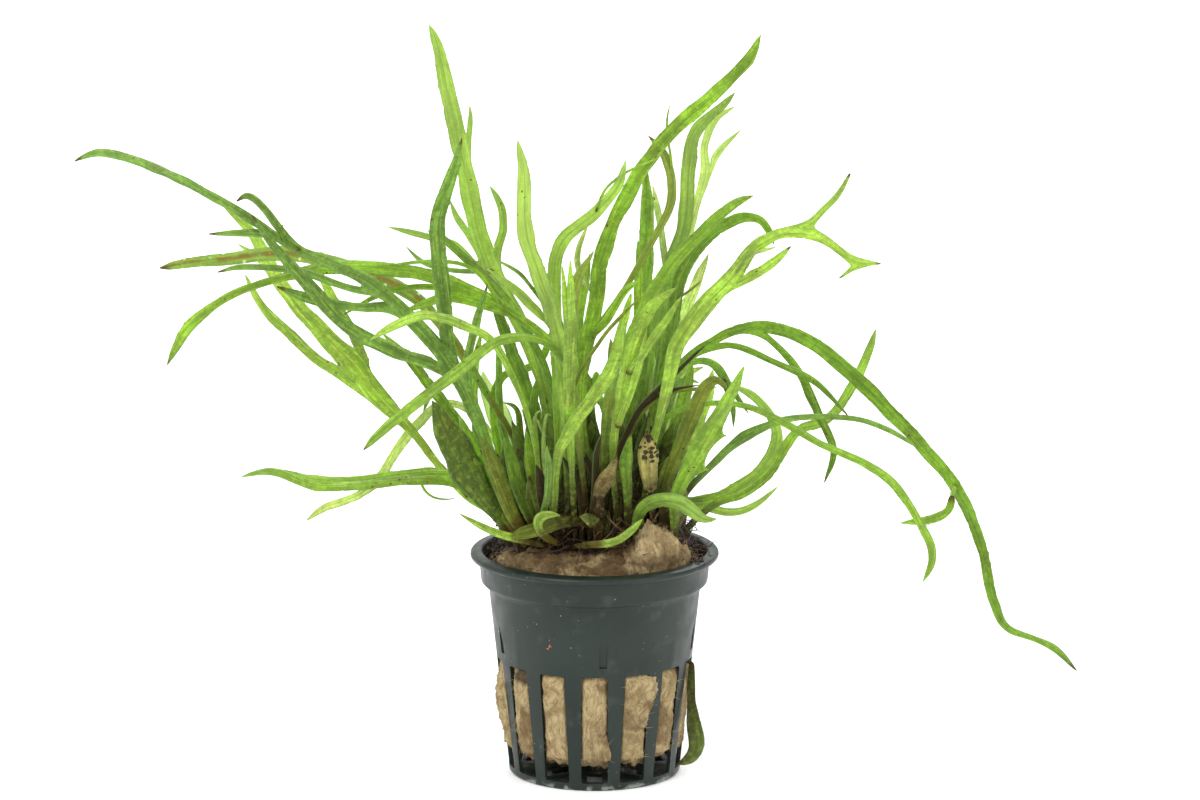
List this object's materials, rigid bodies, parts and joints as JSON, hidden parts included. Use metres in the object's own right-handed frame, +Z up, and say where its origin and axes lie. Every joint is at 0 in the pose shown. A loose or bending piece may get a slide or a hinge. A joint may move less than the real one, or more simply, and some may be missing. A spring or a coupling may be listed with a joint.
{
  "type": "potted trident java fern",
  "caption": "Aquarium fern with narrow arching, forked fronds, growing from rhizomes on stone wool in a slotted net pot.",
  "frame": {"origin": "centre of the pot's underside", "axes": "+Z up, -Y towards the viewer of the picture, +X to the right along the plant's longest spread"},
  "size_m": [0.2162, 0.1295, 0.1739],
  "materials": {
    "pot_plastic": "dark grey-green satin plastic, dusty and finely scratched",
    "stone_wool": "matted beige fibre, stained brown",
    "rhizome": "dark brown, scaly, with fine roots",
    "leaf_bright": "thin leaf, satin, with a midrib and fine veins, lets light through",
    "leaf_mid": "thin leaf, satin, with a midrib and fine veins, lets light through",
    "leaf_dark": "thin leaf, satin, with a midrib and fine veins, lets light through",
    "leaf_teal": "thin leaf, satin, with a midrib and fine veins, lets light through",
    "leaf_pale": "thin leaf, satin, with a midrib and fine veins, lets light through",
    "leaf_olive": "thin leaf, satin, with a midrib and fine veins, lets light through",
    "leaf_slate": "thin leaf, satin, with a midrib and fine veins, lets light through",
    "leaf_tan": "thin leaf, satin, with a midrib and fine veins, lets light through"
  },
  "bodies": {
    "root": {"pot": "pot_plastic", "stone_wool": "stone_wool", "rhizome_front": "rhizome", "rhizome_middle": "rhizome", "rhizome_back": "rhizome", "dead_leaf": "leaf_tan", "frond_back_1": "leaf_pale", "frond_back_2": "leaf_dark", "frond_back_3": "leaf_mid", "frond_front_1": "leaf_bright", "frond_front_2": "leaf_bright", "frond_front_3": "leaf_olive", "frond_front_4": "leaf_bright", "frond_left_1": "leaf_teal", "frond_left_10": "leaf_pale", "frond_left_11": "leaf_mid", "frond_left_12": "leaf_bright", "frond_left_13": "leaf_mid", "frond_left_14": "leaf_mid", "frond_left_2": "leaf_olive", "frond_left_3": "leaf_mid", "frond_left_4": "leaf_bright", "frond_left_5": "leaf_slate", "frond_left_6": "leaf_dark", "frond_left_7": "leaf_mid", "frond_left_8": "leaf_mid", "frond_left_9": "leaf_mid", "frond_right_1": "leaf_dark", "frond_right_10": "leaf_teal", "frond_right_11": "leaf_pale", "frond_right_2": "leaf_mid", "frond_right_3": "leaf_mid", "frond_right_4": "leaf_olive", "frond_right_5": "leaf_teal", "frond_right_6": "leaf_olive", "frond_right_7": "leaf_bright", "frond_right_8": "leaf_teal", "frond_right_9": "leaf_olive", "frond_top_1": "leaf_mid", "frond_top_10": "leaf_mid", "frond_top_11": "leaf_dark", "frond_top_12": "leaf_bright", "frond_top_2": "leaf_dark", "frond_top_3": "leaf_bright", "frond_top_4": "leaf_mid", "frond_top_5": "leaf_mid", "frond_top_6": "leaf_olive", "frond_top_7": "leaf_dark", "frond_top_8": "leaf_dark", "frond_top_9": "leaf_pale", "hanging_leaf": "leaf_mid", "plantlet_leaf": "leaf_mid", "spotted_leaf": "leaf_pale", "young_leaf_1": "leaf_bright", "young_leaf_2": "leaf_bright", "young_leaf_3": "leaf_bright", "young_leaf_4": "leaf_dark", "young_leaf_5": "leaf_teal"}
  },
  "joints": []
}
